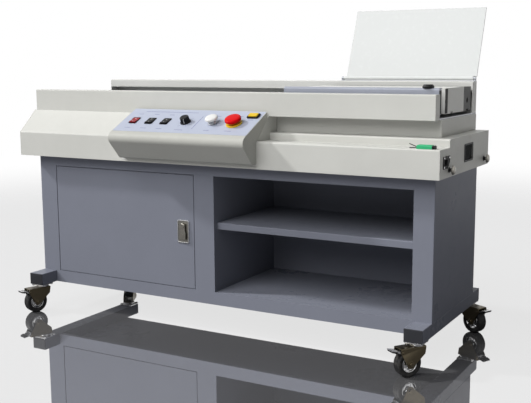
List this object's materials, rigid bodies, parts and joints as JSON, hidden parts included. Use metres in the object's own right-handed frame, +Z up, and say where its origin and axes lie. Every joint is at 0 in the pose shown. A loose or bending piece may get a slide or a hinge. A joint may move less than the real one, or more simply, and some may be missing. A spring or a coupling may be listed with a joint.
{
  "type": "perfect binding machine",
  "caption": "Floor-standing perfect binding machine: long clamp channel over glue and nipping stations, sloped control box, cabinet with door and shelf, four braked casters.",
  "frame": {"origin": "middle of the machine's footprint, on the floor", "axes": "+X to the operator's right along the clamp's travel, -Y towards the operator, +Z up"},
  "size_m": [1.5228, 0.6454, 1.0134],
  "materials": {
    "cabinet_paint": "satin",
    "cover_paint": "satin",
    "block_paint": "painted",
    "board_plastic": "satin",
    "bare_steel": "brushed",
    "jaw_metal": "anodised",
    "carriage_paint": "painted",
    "zinc": "zinc plated",
    "rubber": "matte",
    "black_plastic": "satin",
    "red_plastic": "gloss",
    "yellow_plastic": "gloss",
    "white_plastic": "gloss",
    "green_plastic": "gloss",
    "motor_paint": "satin",
    "tank_metal": "cast",
    "roller_metal": "machined"
  },
  "bodies": {
    "frame": {"foot_rails": "cabinet_paint", "front_frame": "cabinet_paint", "cabinet_sides": "cabinet_paint", "cabinet_back": "cabinet_paint", "cabinet_divider": "cabinet_paint", "cabinet_floor": "cabinet_paint", "bay_shelf": "cabinet_paint", "caster_plates": "zinc", "machine_base": "bare_steel", "front_cover": "cover_paint", "side_plates": "cover_paint", "rear_cover": "cover_paint", "power_inlet": "black_plastic", "side_window": "black_plastic", "side_knobs": "zinc", "neck_cover": "cover_paint", "bench_floor": "bare_steel", "front_beam": "cover_paint", "rear_wall": "cover_paint", "guide_rails": "bare_steel", "drive_motor": "motor_paint", "board_hinge": "bare_steel", "milling_motor": "motor_paint", "glue_tank": "tank_metal", "control_box": "cover_paint", "stop_collar": "yellow_plastic"},
    "door": {"cabinet_door": "cabinet_paint", "door_handle_dish": "zinc"},
    "handle": {"door_handle": "zinc"},
    "carriage": {"carriage": "carriage_paint", "clamp_block": "block_paint"},
    "jaw": {"clamp_jaw": "jaw_metal"},
    "clamp_knob": {"clamp_knob": "black_plastic"},
    "screw": {"drive_screw": "bare_steel"},
    "board": {"book_board": "board_plastic"},
    "cutter": {"milling_cutter": "bare_steel"},
    "left_roller": {"glue_roller_left": "roller_metal"},
    "right_roller": {"glue_roller_right": "roller_metal"},
    "front_nip": {"nip_jaw_front": "bare_steel"},
    "rear_nip": {"nip_jaw_rear": "bare_steel"},
    "side_lay": {"side_lay": "green_plastic"},
    "mains_switch": {"mains_rocker": "red_plastic"},
    "mill_switch": {"mill_rocker": "black_plastic"},
    "feed_switch": {"feed_rocker": "black_plastic"},
    "heat_knob": {"heat_knob": "black_plastic"},
    "start_button": {"start_button": "white_plastic"},
    "stop_button": {"stop_button": "red_plastic"},
    "reset_button": {"reset_button": "yellow_plastic"},
    "fork_front_left": {"caster_fork_front_left": "zinc"},
    "wheel_front_left": {"caster_wheel_front_left": "rubber"},
    "pedal_front_left": {"brake_pedal_front_left": "black_plastic"},
    "fork_front_right": {"caster_fork_front_right": "zinc"},
    "wheel_front_right": {"caster_wheel_front_right": "rubber"},
    "pedal_front_right": {"brake_pedal_front_right": "black_plastic"},
    "fork_rear_left": {"caster_fork_rear_left": "zinc"},
    "wheel_rear_left": {"caster_wheel_rear_left": "rubber"},
    "pedal_rear_left": {"brake_pedal_rear_left": "black_plastic"},
    "fork_rear_right": {"caster_fork_rear_right": "zinc"},
    "wheel_rear_right": {"caster_wheel_rear_right": "rubber"},
    "pedal_rear_right": {"brake_pedal_rear_right": "black_plastic"}
  },
  "joints": [
    {"name": "door_hinge", "type": "hinge", "parent": "frame", "child": "door", "pos_m": [-0.64041, -0.18614, 0.137], "axis": [0, 0, -1], "range_deg": [0, 110]},
    {"name": "door_handle_turn", "type": "hinge", "parent": "door", "child": "handle", "pos_m": [-0.12041, -0.19014, 0.339], "axis": [0, 1, 0], "range_deg": [0, 90]},
    {"name": "carriage_travel", "type": "slide", "parent": "frame", "child": "carriage", "axis": [-1, 0, 0], "range_m": [0, 0.86]},
    {"name": "drive_screw_turn", "type": "hinge", "parent": "frame", "child": "screw", "pos_m": [-0.65541, 0.13436, 0.735], "axis": [-1, 0, 0], "range_deg": [0, 7200.5]},
    {"name": "jaw_clamp", "type": "slide", "parent": "carriage", "child": "jaw", "axis": [0, 1, 0], "range_m": [-0.004, 0.0275]},
    {"name": "clamp_knob_turn", "type": "hinge", "parent": "jaw", "child": "clamp_knob", "pos_m": [0.64959, -0.10614, 0.778], "axis": [0, 0, 1], "range_deg": [-180, 180]},
    {"name": "board_fold", "type": "hinge", "parent": "frame", "child": "board", "pos_m": [0.24459, 0.20786, 0.7975], "axis": [-1, 0, 0], "range_deg": [-21, 69]},
    {"name": "cutter_spin", "type": "hinge", "parent": "frame", "child": "cutter", "pos_m": [0.11459, -0.08214, 0.6965], "axis": [0, 0, 1], "continuous": true},
    {"name": "left_roller_spin", "type": "hinge", "parent": "frame", "child": "left_roller", "pos_m": [-0.06491, -0.08214, 0.679], "axis": [0, 1, 0], "continuous": true},
    {"name": "right_roller_spin", "type": "hinge", "parent": "frame", "child": "right_roller", "pos_m": [-0.00991, -0.08214, 0.679], "axis": [0, 1, 0], "continuous": true},
    {"name": "front_nip_close", "type": "slide", "parent": "frame", "child": "front_nip", "axis": [0, 1, 0], "range_m": [0, 0.015]},
    {"name": "rear_nip_close", "type": "slide", "parent": "frame", "child": "rear_nip", "axis": [0, -1, 0], "range_m": [0, 0.015]},
    {"name": "side_lay_slide", "type": "slide", "parent": "frame", "child": "side_lay", "axis": [-1, 0, 0], "range_m": [0, 0.05]},
    {"name": "mains_switch_rock", "type": "hinge", "parent": "frame", "child": "mains_switch", "pos_m": [-0.26641, -0.23586, 0.67069], "axis": [1, 0, 0], "range_deg": [0, 12]},
    {"name": "mill_switch_rock", "type": "hinge", "parent": "frame", "child": "mill_switch", "pos_m": [-0.20541, -0.23586, 0.67069], "axis": [1, 0, 0], "range_deg": [0, 12]},
    {"name": "feed_switch_rock", "type": "hinge", "parent": "frame", "child": "feed_switch", "pos_m": [-0.14741, -0.23586, 0.67069], "axis": [1, 0, 0], "range_deg": [0, 12]},
    {"name": "heat_knob_turn", "type": "hinge", "parent": "frame", "child": "heat_knob", "pos_m": [-0.07241, -0.23586, 0.67069], "axis": [0, -0.4478, 0.8942], "range_deg": [-150, 150]},
    {"name": "start_button_press", "type": "slide", "parent": "frame", "child": "start_button", "axis": [0, 0.4478, -0.8942], "range_m": [0, 0.003], "stiffness_N_per_m": 600, "springref_m": -0.002},
    {"name": "stop_button_press", "type": "slide", "parent": "frame", "child": "stop_button", "axis": [0, 0.4478, -0.8942], "range_m": [0, 0.005], "stiffness_N_per_m": 1200, "springref_m": -0.002},
    {"name": "reset_button_press", "type": "slide", "parent": "frame", "child": "reset_button", "axis": [0, 0.4478, -0.8942], "range_m": [0, 0.003], "stiffness_N_per_m": 600, "springref_m": -0.002},
    {"name": "swivel_front_left", "type": "hinge", "parent": "frame", "child": "fork_front_left", "pos_m": [-0.68991, -0.23514, 0.096], "axis": [0, 0, 1], "continuous": true},
    {"name": "wheel_spin_front_left", "type": "hinge", "parent": "fork_front_left", "child": "wheel_front_left", "pos_m": [-0.69839, -0.26287, 0.0375], "axis": [0.9563, -0.2924, 0], "continuous": true},
    {"name": "brake_press_front_left", "type": "hinge", "parent": "fork_front_left", "child": "pedal_front_left", "pos_m": [-0.70599, -0.28773, 0.0735], "axis": [0.9563, -0.2924, 0], "range_deg": [0, 12], "stiffness_Nm_per_rad": 2, "springref_deg": -11.46},
    {"name": "swivel_front_right", "type": "hinge", "parent": "frame", "child": "fork_front_right", "pos_m": [0.67709, -0.23514, 0.096], "axis": [0, 0, 1], "continuous": true},
    {"name": "wheel_spin_front_right", "type": "hinge", "parent": "fork_front_right", "child": "wheel_front_right", "pos_m": [0.66045, -0.25889, 0.0375], "axis": [0.8192, -0.5736, 0], "continuous": true},
    {"name": "brake_press_front_right", "type": "hinge", "parent": "fork_front_right", "child": "pedal_front_right", "pos_m": [0.64554, -0.28019, 0.0735], "axis": [0.8192, -0.5736, 0], "range_deg": [0, 12], "stiffness_Nm_per_rad": 2, "springref_deg": -11.46},
    {"name": "swivel_rear_left", "type": "hinge", "parent": "frame", "child": "fork_rear_left", "pos_m": [-0.68991, 0.23886, 0.096], "axis": [0, 0, 1], "continuous": true},
    {"name": "wheel_spin_rear_left", "type": "hinge", "parent": "fork_rear_left", "child": "wheel_rear_left", "pos_m": [-0.70353, 0.26447, 0.0375], "axis": [-0.8829, -0.4695, 0], "continuous": true},
    {"name": "brake_press_rear_left", "type": "hinge", "parent": "fork_rear_left", "child": "pedal_rear_left", "pos_m": [-0.71574, 0.28742, 0.0735], "axis": [-0.8829, -0.4695, 0], "range_deg": [0, 12], "stiffness_Nm_per_rad": 2, "springref_deg": -11.46},
    {"name": "swivel_rear_right", "type": "hinge", "parent": "frame", "child": "fork_rear_right", "pos_m": [0.67709, 0.23886, 0.096], "axis": [0, 0, 1], "continuous": true},
    {"name": "wheel_spin_rear_right", "type": "hinge", "parent": "fork_rear_right", "child": "wheel_rear_right", "pos_m": [0.70293, 0.2257, 0.0375], "axis": [0.454, 0.891, 0], "continuous": true},
    {"name": "brake_press_rear_right", "type": "hinge", "parent": "fork_rear_right", "child": "pedal_rear_right", "pos_m": [0.72609, 0.21389, 0.0735], "axis": [0.454, 0.891, 0], "range_deg": [0, 12], "stiffness_Nm_per_rad": 2, "springref_deg": -11.46}
  ],
  "couplings": [
    {"joint": "drive_screw_turn", "follows": "carriage_travel", "rad_per_m": 146.12},
    {"joint": "right_roller_spin", "follows": "left_roller_spin", "ratio": 1},
    {"joint": "rear_nip_close", "follows": "front_nip_close", "ratio": 1}
  ]
}
